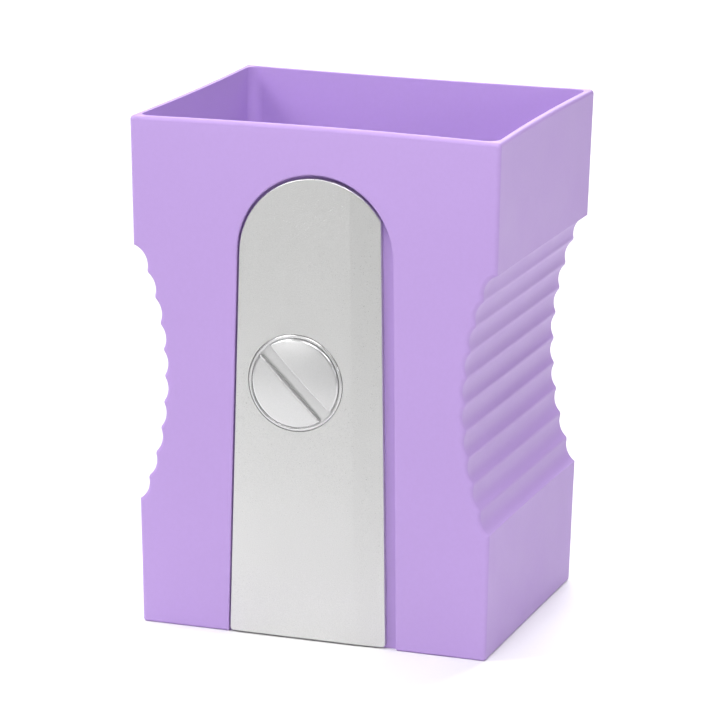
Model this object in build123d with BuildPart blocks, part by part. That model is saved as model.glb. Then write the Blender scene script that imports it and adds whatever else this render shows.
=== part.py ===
"""Pencil pot shaped like a wedge pencil sharpener, 105 mm tall.

The pot is a waisted rectangular tube, open at both ends, with a base plate glued in from below.
Its four walls bow inwards a little towards the open rim.  A blade-shaped plate lies in a recess in
the front wall, held by three pegs and a slotted screw.

Units are millimetres.  The origin is at the middle of the bottom, +Z is up and the front faces -Y.
"""

import os
from math import atan, atan2, cos, degrees, radians, sin

from build123d import *

# Outside of the pot: a rectangle at the bottom that grows evenly towards the rim
pot_height = 105.0
bottom_width = 73.1
bottom_depth = 60.0
side_lean = 0.0176  # outward lean of each side wall at the corners, per mm of height
front_lean = 0.0276  # outward lean of the front and back walls at the corners, per mm of height
side_bow = 0.7  # how far the middle of each wall lies inside the straight line at the rim
front_bow = 2.4
back_bow = 1.3
wall = 1.3
corner_radius = 0.8  # upright outer edges
inner_corner_radius = 2.5  # upright inner edges
rim_outer_radius = 0.8
rim_inner_radius = 0.2
bottom_radius = 0.6

# Waist: finger grooves across each side, spaced evenly along a hollow arc
waist_height = 52.15
waist_radius = 66.0
waist_depth = 5.72  # depth of the sharp crests at the middle of the waist, before rounding
groove_count = 10
groove_pitch = 4.68  # degrees of the waist arc
groove_depth = 0.86  # from the sharp crests to the valleys
crest_radius = 1.0

# Recess for the blade plate, measured on the front face
recess_depth = 1.4
recess_arch_height = 79.05
recess_arch_radius = 16.3
recess_bottom_half_width = 17.85
recess_edge_radius = 0.3

# Blade plate
blade_thickness = 1.5
blade_arch_height = 78.75
blade_arch_radius = 15.95
blade_bottom_half_width = 17.5
blade_bottom_height = 0.3
blade_corner_radius = 0.8
blade_edge_radius = 0.25
cutting_edge_top_x = 13.34  # the straight right-hand edge
cutting_edge_bottom_x = 15.56
bevel_top_x = 7.0  # the line where the ground bevel starts
bevel_bottom_x = 9.32
bevel_drop = 0.35
peg_radius = 1.6
peg_clearance = 0.05
peg_places = [(0.0, 86.0), (-10.5, 12.0), (10.5, 12.0)]

# Slotted screw
screw_x = -3.85
screw_height = 53.2
seat_radius = 9.95
seat_depth = 0.9
ring_radius = 9.8
ring_width = 0.6
ring_rise = 0.15  # the crown of the ring stands this far above the plate
groove_floor = 0.5  # depth of the groove between the ring and the head
head_radius = 9.05
head_rise = 0.45  # height of the head's edge above the plate
dome_rise = 0.45
head_edge_radius = 0.5
slot_width = 2.9
slot_depth = 1.2
slot_angle = -45
slot_edge_radius = 0.2
stem_radius = 2.45
stem_clearance = 0.05

# Base plate, glued into a shallow rebate in the side walls
base_thickness = 2.0
base_lift = 0.8  # the rim under the pot stands this far below the base plate
base_clearance = 0.05
rebate_step = 0.4
base_edge_radius = 0.3

# Derived sizes
top_width = bottom_width + 2 * side_lean * pot_height
top_depth = bottom_depth + 2 * front_lean * pot_height
waist_half_width = bottom_width / 2 + side_lean * waist_height
waist_centre_x = waist_half_width - waist_depth + waist_radius
crest_half_pitch = radians(groove_pitch / 2)
crest_chord = 2 * waist_radius * sin(crest_half_pitch)
groove_bottom = waist_radius + groove_depth
crest_inset = groove_bottom - waist_radius * cos(crest_half_pitch)
groove_radius = ((crest_chord / 2) ** 2 + crest_inset**2) / (2 * crest_inset)
face_angle = atan(front_lean - front_bow / pot_height)
slope_scale = 1 / cos(face_angle)
stem_length = blade_thickness + wall
pad_width = 2 * (recess_bottom_half_width + wall)
rebate_width = bottom_width - 2 * (wall - rebate_step)
rebate_depth = bottom_depth - 2 * wall

# Flat working planes on the front face: x is to the right, y runs up the face, z points outwards
front_plane = Plane(
    origin=(0, -bottom_depth / 2, 0),
    x_dir=(1, 0, 0),
    z_dir=(0, -cos(face_angle), -sin(face_angle)),
)
recess_plane = front_plane.offset(-recess_depth)
blade_front_plane = recess_plane.offset(blade_thickness)


def bowed_block(inset):
    """The outline of the pot without its waist, moved in by inset, with its walls bowed inwards."""
    with BuildPart() as block:
        with BuildSketch():
            Rectangle(bottom_width - 2 * inset, bottom_depth - 2 * inset)
        with BuildSketch(Plane.XY.offset(pot_height)):
            half_width = top_width / 2 - inset
            half_depth = top_depth / 2 - inset
            with BuildLine():
                ThreePointArc(
                    (-half_width, -half_depth), (0, front_bow - half_depth), (half_width, -half_depth)
                )
                ThreePointArc(
                    (half_width, -half_depth), (half_width - side_bow, 0), (half_width, half_depth)
                )
                ThreePointArc(
                    (half_width, half_depth), (0, half_depth - back_bow), (-half_width, half_depth)
                )
                ThreePointArc(
                    (-half_width, half_depth), (side_bow - half_width, 0), (-half_width, -half_depth)
                )
            make_face()
        loft(ruled=True)
    return block.part


def upright_edges(block):
    """The edges that run up the four corners of a block."""
    front_and_back = block.faces().sort_by(Axis.Y)
    return (front_and_back[0].edges() + front_and_back[-1].edges()).filter_by(
        lambda edge: edge.bounding_box().size.X < top_width / 2
    )


# Cutter for one side: a row of round grooves along the waist arc, with the crests between them rounded
with BuildPart() as groove_cutter:
    with BuildSketch(Plane.XZ) as grooves:
        with Locations((waist_centre_x, waist_height)):
            with PolarLocations(
                groove_bottom - groove_radius,
                groove_count,
                start_angle=180 - groove_pitch * (groove_count - 1) / 2,
                angular_range=groove_pitch * (groove_count - 1),
                endpoint=True,
            ):
                Circle(groove_radius)
        crests = grooves.vertices().filter_by(
            lambda vertex: (Vector(vertex) - Vector(waist_centre_x, 0, waist_height)).length
            > groove_bottom - groove_radius
        )
        fillet(crests, radius=crest_radius)
    extrude(amount=top_depth, both=True)
    mirror(about=Plane.YZ)


def blade_outline(arch_height, arch_radius, bottom_half_width, bottom_height, margin=0):
    """The rounded-top, slightly flared outline of the recess and the plate, grown by margin."""
    with BuildSketch() as outline:
        with BuildLine():
            CenterArc((0, arch_height * slope_scale), arch_radius + margin, 0, 180)
            Line(
                (-bottom_half_width - margin, bottom_height * slope_scale),
                (bottom_half_width + margin, bottom_height * slope_scale),
            )
        make_hull()
    return outline.sketch


recess_shape = (recess_arch_height, recess_arch_radius, recess_bottom_half_width)
recess_outline = blade_outline(*recess_shape, -recess_depth)
pad_outline = blade_outline(*recess_shape, -recess_depth, margin=wall)
blade_shape = blade_outline(
    blade_arch_height, blade_arch_radius, blade_bottom_half_width, blade_bottom_height
)
peg_points = [(x, height * slope_scale) for x, height in peg_places]
screw_point = (screw_x, screw_height * slope_scale)

# Outside of the pot, with the finger grooves and the recess for the blade plate
with BuildPart() as outside:
    add(bowed_block(0))
    add(groove_cutter.part, mode=Mode.SUBTRACT)
    fillet(upright_edges(outside), radius=corner_radius)
    fillet(outside.faces().sort_by(Axis.Z)[-1].edges(), radius=rim_outer_radius)
    fillet(outside.faces().sort_by(Axis.Z)[0].edges(), radius=bottom_radius)
    with BuildSketch(recess_plane):
        add(recess_outline)
    extrude(amount=2 * recess_depth, mode=Mode.SUBTRACT)
    recess_rim = outside.edges().filter_by_position(Axis.Z, recess_depth, pot_height - wall)
    recess_rim = recess_rim.filter_by_position(Axis.X, -recess_bottom_half_width, recess_bottom_half_width)
    fillet(
        recess_rim.filter_by(
            lambda edge: recess_plane.to_local_coords(edge.center()).Z > recess_depth / 2
        ),
        radius=recess_edge_radius,
    )

# Inside of the pot: smooth at the waist, and stopping short of the wall behind the recess
with BuildPart() as cavity:
    add(bowed_block(wall))
    with BuildSketch(Plane.XZ):
        with Locations((waist_centre_x, waist_height), (-waist_centre_x, waist_height)):
            Circle(groove_bottom + wall)
    extrude(amount=top_depth, both=True, mode=Mode.SUBTRACT)
    fillet(upright_edges(cavity), radius=inner_corner_radius)
    with BuildSketch(recess_plane.offset(-wall)):
        add(pad_outline)
    extrude(amount=2 * (wall + recess_depth), mode=Mode.SUBTRACT)

# Pot shell: tube with the holes behind the blade plate and a shallow rebate for the base plate
with BuildPart() as pot_shell:
    add(outside.part)
    add(cavity.part, mode=Mode.SUBTRACT)
    fillet(pot_shell.faces().sort_by(Axis.Z)[-1].inner_wires()[0].edges(), radius=rim_inner_radius)
    with BuildSketch(recess_plane):
        with Locations(*peg_points):
            Circle(peg_radius + peg_clearance)
        with Locations(screw_point):
            Circle(stem_radius + stem_clearance)
    extrude(amount=-2 * wall, mode=Mode.SUBTRACT)
    with BuildSketch():
        RectangleRounded(rebate_width, rebate_depth, inner_corner_radius)
        with Locations((0, -bottom_depth / 2)):
            Rectangle(pad_width, 2 * (recess_depth + wall), mode=Mode.SUBTRACT)
    extrude(amount=base_lift + base_thickness, mode=Mode.SUBTRACT)
pot_shell.part.label = "pot_shell"

# Base plate: closes the tube from below and is cut out in front for the back of the recess
with BuildPart() as base_plate:
    with BuildSketch(Plane.XY.offset(base_lift)):
        RectangleRounded(
            rebate_width - 2 * base_clearance,
            rebate_depth - 2 * base_clearance,
            inner_corner_radius,
        )
        with Locations((0, -bottom_depth / 2)):
            Rectangle(
                pad_width + 2 * base_clearance,
                2 * (recess_depth + wall + base_clearance),
                mode=Mode.SUBTRACT,
            )
    extrude(amount=base_thickness)
    fillet(base_plate.faces().sort_by(Axis.Z)[0].edges(), radius=base_edge_radius)
base_plate.part.label = "base_plate"

# Blade plate: flat plate with a ground bevel along its straight cutting edge and pegs behind
blade_foot = blade_bottom_height * slope_scale
blade_tip = (blade_arch_height + blade_arch_radius) * slope_scale
bevel_width = cutting_edge_bottom_x - bevel_bottom_x
bevel_lean = degrees(atan2(bevel_bottom_x - bevel_top_x, blade_tip - blade_foot))
bevel_angle = degrees(atan(bevel_drop / bevel_width))
bevel_plane = blade_front_plane.moved(
    Location((bevel_bottom_x, blade_foot, 0), (bevel_lean, bevel_angle, 0), Intrinsic.ZYX)
)
bevel_line = Axis(bevel_plane.origin, bevel_plane.y_dir)
with BuildPart() as blade_plate:
    with BuildSketch(recess_plane) as blade_face:
        add(blade_shape)
        with BuildLine():
            Polyline(
                (cutting_edge_bottom_x, blade_foot),
                (cutting_edge_top_x, blade_tip),
                (2 * blade_arch_radius, blade_tip),
                (2 * blade_arch_radius, blade_foot),
                close=True,
            )
        make_face(mode=Mode.SUBTRACT)
        fillet(blade_face.vertices().group_by(Axis.Y)[0], radius=blade_corner_radius)
    extrude(amount=blade_thickness)
    with BuildSketch(bevel_plane):
        Rectangle(2 * bevel_width, 2 * blade_tip, align=(Align.MIN, Align.CENTER))
    extrude(amount=blade_thickness, mode=Mode.SUBTRACT)
    flat_and_bevel = blade_plate.faces().filter_by(
        lambda face: recess_plane.to_local_coords(face.center()).Z > blade_thickness - bevel_drop
    )
    rim_edges = flat_and_bevel[0].edges() + flat_and_bevel[1].edges()
    fillet(rim_edges.filter_by(bevel_line, reverse=True), radius=blade_edge_radius)
    with BuildSketch(recess_plane):
        with Locations(*peg_points):
            Circle(peg_radius)
    extrude(amount=-wall)
    with BuildSketch(blade_front_plane):
        with Locations(screw_point):
            Circle(seat_radius)
    extrude(amount=-seat_depth, mode=Mode.SUBTRACT)
    with BuildSketch(blade_front_plane):
        with Locations(screw_point):
            Circle(stem_radius + stem_clearance)
    extrude(amount=-blade_thickness, mode=Mode.SUBTRACT)
blade_plate.part.label = "blade_plate"

# Screw: domed, slotted head inside a thin rounded ring, with a stem pressed through the wall
screw_plane = Plane(
    origin=blade_front_plane.from_local_coords((*screw_point, 0)),
    x_dir=blade_front_plane.x_dir,
    z_dir=blade_front_plane.z_dir,
)
screw_section = Plane(
    origin=screw_plane.origin,
    x_dir=screw_plane.x_dir,
    z_dir=-screw_plane.y_dir,
)
screw_axis = Axis(screw_plane.origin, screw_plane.z_dir)
head_top = head_rise + dome_rise
slot_plane = Plane(
    origin=screw_plane.origin,
    x_dir=screw_plane.x_dir.rotate(Axis((0, 0, 0), screw_plane.z_dir), slot_angle),
    z_dir=screw_plane.z_dir,
)
with BuildPart() as blade_screw:
    with BuildSketch(screw_section) as head_section:
        with BuildLine():
            Line((0, -seat_depth), (0, head_top))
            ThreePointArc(
                (0, head_top),
                (head_radius / 2, head_rise + dome_rise * 3 / 4),
                (head_radius, head_rise),
            )
            Polyline((head_radius, head_rise), (head_radius, -seat_depth), (0, -seat_depth))
        make_face()
        head_edge = head_section.vertices().group_by(Axis.X)[-1].sort_by(Axis.Y)[-1]
        fillet(head_edge, radius=head_edge_radius)
    revolve(axis=screw_axis)
    with BuildSketch(slot_plane.offset(head_top)):
        Rectangle(4 * head_radius, slot_width)
    extrude(amount=-(slot_depth + dome_rise), mode=Mode.SUBTRACT)
    slot_edges = blade_screw.edges().filter_by(
        lambda edge: slot_plane.to_local_coords(edge.center()).Z > head_rise
        and slot_plane.to_local_coords(edge @ 0).Y * slot_plane.to_local_coords(edge @ 1).Y > 1
    )
    fillet(slot_edges, radius=slot_edge_radius)
    with BuildSketch(screw_section):
        with BuildLine():
            Polyline(
                (0, -seat_depth),
                (ring_radius, -seat_depth),
                (ring_radius, 0),
            )
            ThreePointArc(
                (ring_radius, 0),
                (ring_radius - ring_width / 2, ring_rise),
                (ring_radius - ring_width, 0),
            )
            Polyline(
                (ring_radius - ring_width, 0),
                (ring_radius - ring_width, -groove_floor),
                (0, -groove_floor),
                (0, -seat_depth),
            )
        make_face()
    revolve(axis=screw_axis)
    with BuildSketch(screw_plane.offset(-seat_depth)):
        Circle(stem_radius)
    extrude(amount=seat_depth - stem_length)
blade_screw.part.label = "blade_screw"

os.makedirs("parts", exist_ok=True)
for piece in (pot_shell, base_plate, blade_plate, blade_screw):
    export_step(piece.part, f"parts/{piece.part.label}.step")
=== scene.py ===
import math

import bpy
from mathutils import Matrix, Vector


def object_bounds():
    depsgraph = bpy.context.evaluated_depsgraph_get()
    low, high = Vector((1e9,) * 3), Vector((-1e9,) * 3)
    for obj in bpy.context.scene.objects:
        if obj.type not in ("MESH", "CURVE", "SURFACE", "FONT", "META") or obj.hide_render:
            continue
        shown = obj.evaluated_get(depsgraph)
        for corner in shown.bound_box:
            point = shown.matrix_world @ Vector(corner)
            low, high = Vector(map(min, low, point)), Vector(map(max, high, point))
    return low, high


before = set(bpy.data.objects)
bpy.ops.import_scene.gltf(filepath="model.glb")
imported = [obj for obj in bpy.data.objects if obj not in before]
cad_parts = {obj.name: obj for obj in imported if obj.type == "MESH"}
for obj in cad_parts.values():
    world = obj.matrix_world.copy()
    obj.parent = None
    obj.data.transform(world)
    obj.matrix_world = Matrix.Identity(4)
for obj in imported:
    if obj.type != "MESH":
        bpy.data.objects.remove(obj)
cad_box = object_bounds()
low, high = (Vector(corner) for corner in cad_box)
middle = (low + high) / 2

# Camera: a long lens, to the right of the front and looking slightly down; angles in degrees
CAMERA_AZIMUTH = 18.951
CAMERA_ELEVATION = 13.866
CAMERA_ROLL = 0.775
CAMERA_PLACE = Vector((0.25325, -0.73982, 0.24436))
CAMERA_LENS = 196.437
SENSOR_WIDTH = 36.0

# Floor, in metres
FLOOR_SIZE = 12.0
FLOOR_COLOUR = (0.90, 0.90, 0.90)
FLOOR_PAINTED_SHADE = (0.40, 0.40, 0.40)  # painted shade: a darker strip in front of the pot, which the blade plate mirrors
PAINTED_SHADE_NEAR = (-0.07, -0.26)  # where the painted shade starts, the floor turning darker towards the front
PAINTED_SHADE_FAR = (-0.42, -0.62)  # where the painted shade ends and the floor turns pale again
FLOOR_CLOUDS_PER_METRE = 3.0
FLOOR_SPREAD = 0.005
FLOOR_GLOSS_PER_METRE = 20.0
FLOOR_GLOSS = (0.55, 0.65)
FLOOR_GRAIN_PER_METRE = 400.0
FLOOR_GRAIN_HEIGHT = 0.00005

WORLD_LIGHT = 0.03

# name: place, side length and power of each soft square light, in metres and watts
LIGHTS = {
    "top_back": ((0.0, 1.0, 1.0), 0.9, 17.7),
    "left_high": ((-0.9, 0.1, 1.0), 0.6, 7.4),
    "front_left": ((-0.8, -0.8, 0.7), 0.6, 0.92),
    "front_right_edge": ((0.75, -0.55, 0.25), 0.15, 0.8),
    "near_front": ((0.0, -0.40, 0.50), 0.25, 0.37),
    "close_front": ((0.05, -0.24, 0.36), 0.15, 0.52),
    "close_left": ((-0.25, -0.20, 0.36), 0.15, 0.66),
    "close_right": ((0.30, -0.10, 0.36), 0.15, 0.52),
    "low_card": ((-0.32, -0.80, 0.15), 0.26, 0.6),
}

# Plastic: the scales of its patterns, the heights of its bumps in metres, and its gloss
CLOUDS_PER_METRE = 35.0
SPECKS_PER_METRE = 1400.0
GLOSS_PER_METRE = 90.0
WAVES_PER_METRE = 60.0
SKIN_PER_METRE = 2600.0
WAVE_HEIGHT = 0.00004
SKIN_HEIGHT = 0.000006
PLASTIC_SPREAD = 0.015  # how far the colour varies to either side
SPECK_SHARE = 0.5  # how much of the colour variation comes from the specks
PLASTIC_GLOSS_SPREAD = 0.04
PLASTIC_IOR = 1.5
PLASTIC_SPECULAR = 0.3

# Silver paint
PAINT_CLOUDS_PER_METRE = 60.0
PAINT_SPREAD = 0.02
FLAKE_SPREAD = 0.10
FLAKE_SHARE = 0.6  # how much of the colour variation comes from the flakes
PAINT_GLOSS_SPREAD = 0.05


def add_camera():
    """The camera at the photograph's viewing angle."""
    azimuth, elevation, roll = (
        math.radians(angle) for angle in (CAMERA_AZIMUTH, CAMERA_ELEVATION, CAMERA_ROLL)
    )
    back = Vector(
        (
            math.sin(azimuth) * math.cos(elevation),
            -math.cos(azimuth) * math.cos(elevation),
            math.sin(elevation),
        )
    )
    level_right = Vector((math.cos(azimuth), math.sin(azimuth), 0))
    level_up = back.cross(level_right)
    right = level_right * math.cos(roll) + level_up * math.sin(roll)
    up = level_up * math.cos(roll) - level_right * math.sin(roll)
    turn = Matrix((right, up, back)).transposed().to_4x4()
    data = bpy.data.cameras.new("camera")
    data.lens = CAMERA_LENS
    data.sensor_width = SENSOR_WIDTH
    camera = bpy.data.objects.new("camera", data)
    camera.matrix_world = Matrix.Translation(CAMERA_PLACE) @ turn
    bpy.context.scene.collection.objects.link(camera)
    bpy.context.scene.camera = camera


class Nodes:
    """A new material and short calls for adding nodes to it."""

    def __init__(self, name):
        self.material = bpy.data.materials.new(name)
        self.material.use_nodes = True
        self.tree = self.material.node_tree
        self.shader = self.tree.nodes["Principled BSDF"]
        self.place = self.tree.nodes.new("ShaderNodeTexCoord").outputs["Object"]

    def link(self, output, socket):
        self.tree.links.new(output, socket)

    def noise(self, scale, detail=2.0, roughness=0.5):
        """A noise pattern with about `scale` features per metre."""
        node = self.tree.nodes.new("ShaderNodeTexNoise")
        node.inputs["Scale"].default_value = scale
        node.inputs["Detail"].default_value = detail
        node.inputs["Roughness"].default_value = roughness
        self.link(self.place, node.inputs["Vector"])
        return node.outputs["Fac"]

    def range(self, factor, least, most, start=0.3, end=0.7):
        """The factor, spread from start..end to least..most."""
        node = self.tree.nodes.new("ShaderNodeMapRange")
        self.link(factor, node.inputs["Value"])
        for name, value in (("From Min", start), ("From Max", end), ("To Min", least), ("To Max", most)):
            node.inputs[name].default_value = value
        return node.outputs["Result"]

    def mix(self, factor, first, second):
        """A colour between first and second, by a factor; each may be a value or an output."""
        node = self.tree.nodes.new("ShaderNodeMix")
        node.data_type = "RGBA"
        if isinstance(factor, float):
            node.inputs["Factor"].default_value = factor
        else:
            self.link(factor, node.inputs["Factor"])
        colour_sockets = [socket for socket in node.inputs if socket.type == "RGBA"]
        for socket, colour in zip(colour_sockets, (first, second)):
            if isinstance(colour, tuple):
                socket.default_value = (*colour, 1.0)
            else:
                self.link(colour, socket)
        return next(socket for socket in node.outputs if socket.type == "RGBA")

    def vary(self, factor, colour, spread):
        """The colour, from darker to lighter by spread."""
        return self.mix(factor, scaled(colour, 1 - spread), scaled(colour, 1 + spread))

    def bump(self, height, distance, under=None):
        """A bump of the height pattern, on top of an earlier bump."""
        node = self.tree.nodes.new("ShaderNodeBump")
        node.inputs["Distance"].default_value = distance
        self.link(height, node.inputs["Height"])
        if under:
            self.link(under, node.inputs["Normal"])
        return node.outputs["Normal"]

    def finish(self, colour, gloss, skin):
        """Connects the colour, roughness and bump to the shader."""
        self.link(colour, self.shader.inputs["Base Color"])
        self.link(gloss, self.shader.inputs["Roughness"])
        self.link(skin, self.shader.inputs["Normal"])


def scaled(colour, factor):
    return tuple(channel * factor for channel in colour)


def lilac_plastic(name, colour, roughness):
    """Satin moulded plastic: faint cloudiness, uneven gloss and a very fine orange-peel skin."""
    nodes = Nodes(name)
    clouds = nodes.range(nodes.noise(CLOUDS_PER_METRE, detail=3.0), 0.0, 1.0)
    specks = nodes.range(nodes.noise(SPECKS_PER_METRE), 0.0, 1.0, 0.35, 0.65)
    cloudy = nodes.vary(clouds, colour, PLASTIC_SPREAD)
    speckled = nodes.vary(specks, colour, PLASTIC_SPREAD)
    gloss = nodes.range(
        nodes.noise(GLOSS_PER_METRE, detail=4.0),
        roughness - PLASTIC_GLOSS_SPREAD,
        roughness + PLASTIC_GLOSS_SPREAD,
    )
    waves = nodes.bump(nodes.noise(WAVES_PER_METRE), WAVE_HEIGHT)
    skin = nodes.bump(nodes.noise(SKIN_PER_METRE, detail=3.0), SKIN_HEIGHT, under=waves)
    nodes.finish(nodes.mix(SPECK_SHARE, cloudy, speckled), gloss, skin)
    nodes.shader.inputs["IOR"].default_value = PLASTIC_IOR
    nodes.shader.inputs["Specular IOR Level"].default_value = PLASTIC_SPECULAR
    return nodes.material


def silver_paint(name, colour, metallic, roughness, flakes_per_metre, flake_height):
    """Silver paint: fine metal flakes that vary in shade, gloss and tilt."""
    nodes = Nodes(name)
    flakes = nodes.range(nodes.noise(flakes_per_metre, detail=3.0, roughness=0.6), 0.0, 1.0)
    clouds = nodes.range(nodes.noise(PAINT_CLOUDS_PER_METRE), 0.0, 1.0)
    cloudy = nodes.vary(clouds, colour, PAINT_SPREAD)
    flaky = nodes.vary(flakes, colour, FLAKE_SPREAD)
    gloss = nodes.range(
        flakes, roughness - PAINT_GLOSS_SPREAD, roughness + PAINT_GLOSS_SPREAD, 0.0, 1.0
    )
    nodes.finish(nodes.mix(FLAKE_SHARE, cloudy, flaky), gloss, nodes.bump(flakes, flake_height))
    nodes.shader.inputs["Metallic"].default_value = metallic
    return nodes.material


MATERIALS = {
    "pot_shell": lilac_plastic("lilac_plastic", (0.495, 0.335, 0.709), 0.44),
    "base_plate": lilac_plastic("lilac_base_plastic", (0.48, 0.325, 0.69), 0.48),
    "blade_plate": silver_paint("silver_plate", (0.675, 0.675, 0.667), 0.95, 0.32, 5200.0, 0.00002),
    "blade_screw": silver_paint("silver_screw", (0.69, 0.69, 0.69), 0.65, 0.22, 6000.0, 0.0000015),
}


def floor_material():
    """Pale matt floor, faintly uneven, with a darker strip of painted shade in front of the pot."""
    nodes = Nodes("pale_floor")
    clouds = nodes.range(nodes.noise(FLOOR_CLOUDS_PER_METRE), 0.0, 1.0)
    pale = nodes.vary(clouds, FLOOR_COLOUR, FLOOR_SPREAD)
    axes = nodes.tree.nodes.new("ShaderNodeSeparateXYZ")
    nodes.link(nodes.place, axes.inputs["Vector"])
    # painted shade: the floor colour darkens towards the front between the near marks, then turns pale
    # again between the far marks
    painted_shade_near_mask = nodes.range(axes.outputs["Y"], 0.0, 1.0, *PAINTED_SHADE_NEAR)
    painted_shade_far_mask = nodes.range(axes.outputs["Y"], 0.0, 1.0, *PAINTED_SHADE_FAR)
    painted_shade_strip = nodes.mix(painted_shade_near_mask, pale, FLOOR_PAINTED_SHADE)
    gloss = nodes.range(nodes.noise(FLOOR_GLOSS_PER_METRE, detail=3.0), *FLOOR_GLOSS)
    grain = nodes.bump(nodes.noise(FLOOR_GRAIN_PER_METRE), FLOOR_GRAIN_HEIGHT)
    nodes.finish(nodes.mix(painted_shade_far_mask, painted_shade_strip, pale), gloss, grain)
    return nodes.material


def add_floor():
    """A pale floor that runs past the camera's view."""
    bpy.ops.mesh.primitive_plane_add(size=FLOOR_SIZE, location=(0, 0, low.z))
    floor = bpy.context.object
    floor.name = "floor"
    floor.data.materials.append(floor_material())


def add_light(name, place, size, power):
    """A soft square light at place, turned to the middle of the pot."""
    data = bpy.data.lights.new(name, "AREA")
    data.shape = "SQUARE"
    data.size = size
    data.energy = power
    light = bpy.data.objects.new(name, data)
    light.location = place
    light.rotation_mode = "QUATERNION"
    light.rotation_quaternion = (middle - Vector(place)).to_track_quat("-Z", "Y")
    bpy.context.scene.collection.objects.link(light)


def add_world(strength):
    """Even white light from all around."""
    world = bpy.data.worlds.new("studio")
    world.use_nodes = True
    background = world.node_tree.nodes["Background"]
    background.inputs["Color"].default_value = (1.0, 1.0, 1.0, 1.0)
    background.inputs["Strength"].default_value = strength
    bpy.context.scene.world = world
    bpy.context.scene.view_settings.view_transform = "Standard"


add_camera()
add_world(WORLD_LIGHT)
add_floor()
for light_name, settings in LIGHTS.items():
    add_light(light_name, *settings)
for node_name, material in MATERIALS.items():
    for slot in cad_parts[node_name].material_slots:
        slot.material = material
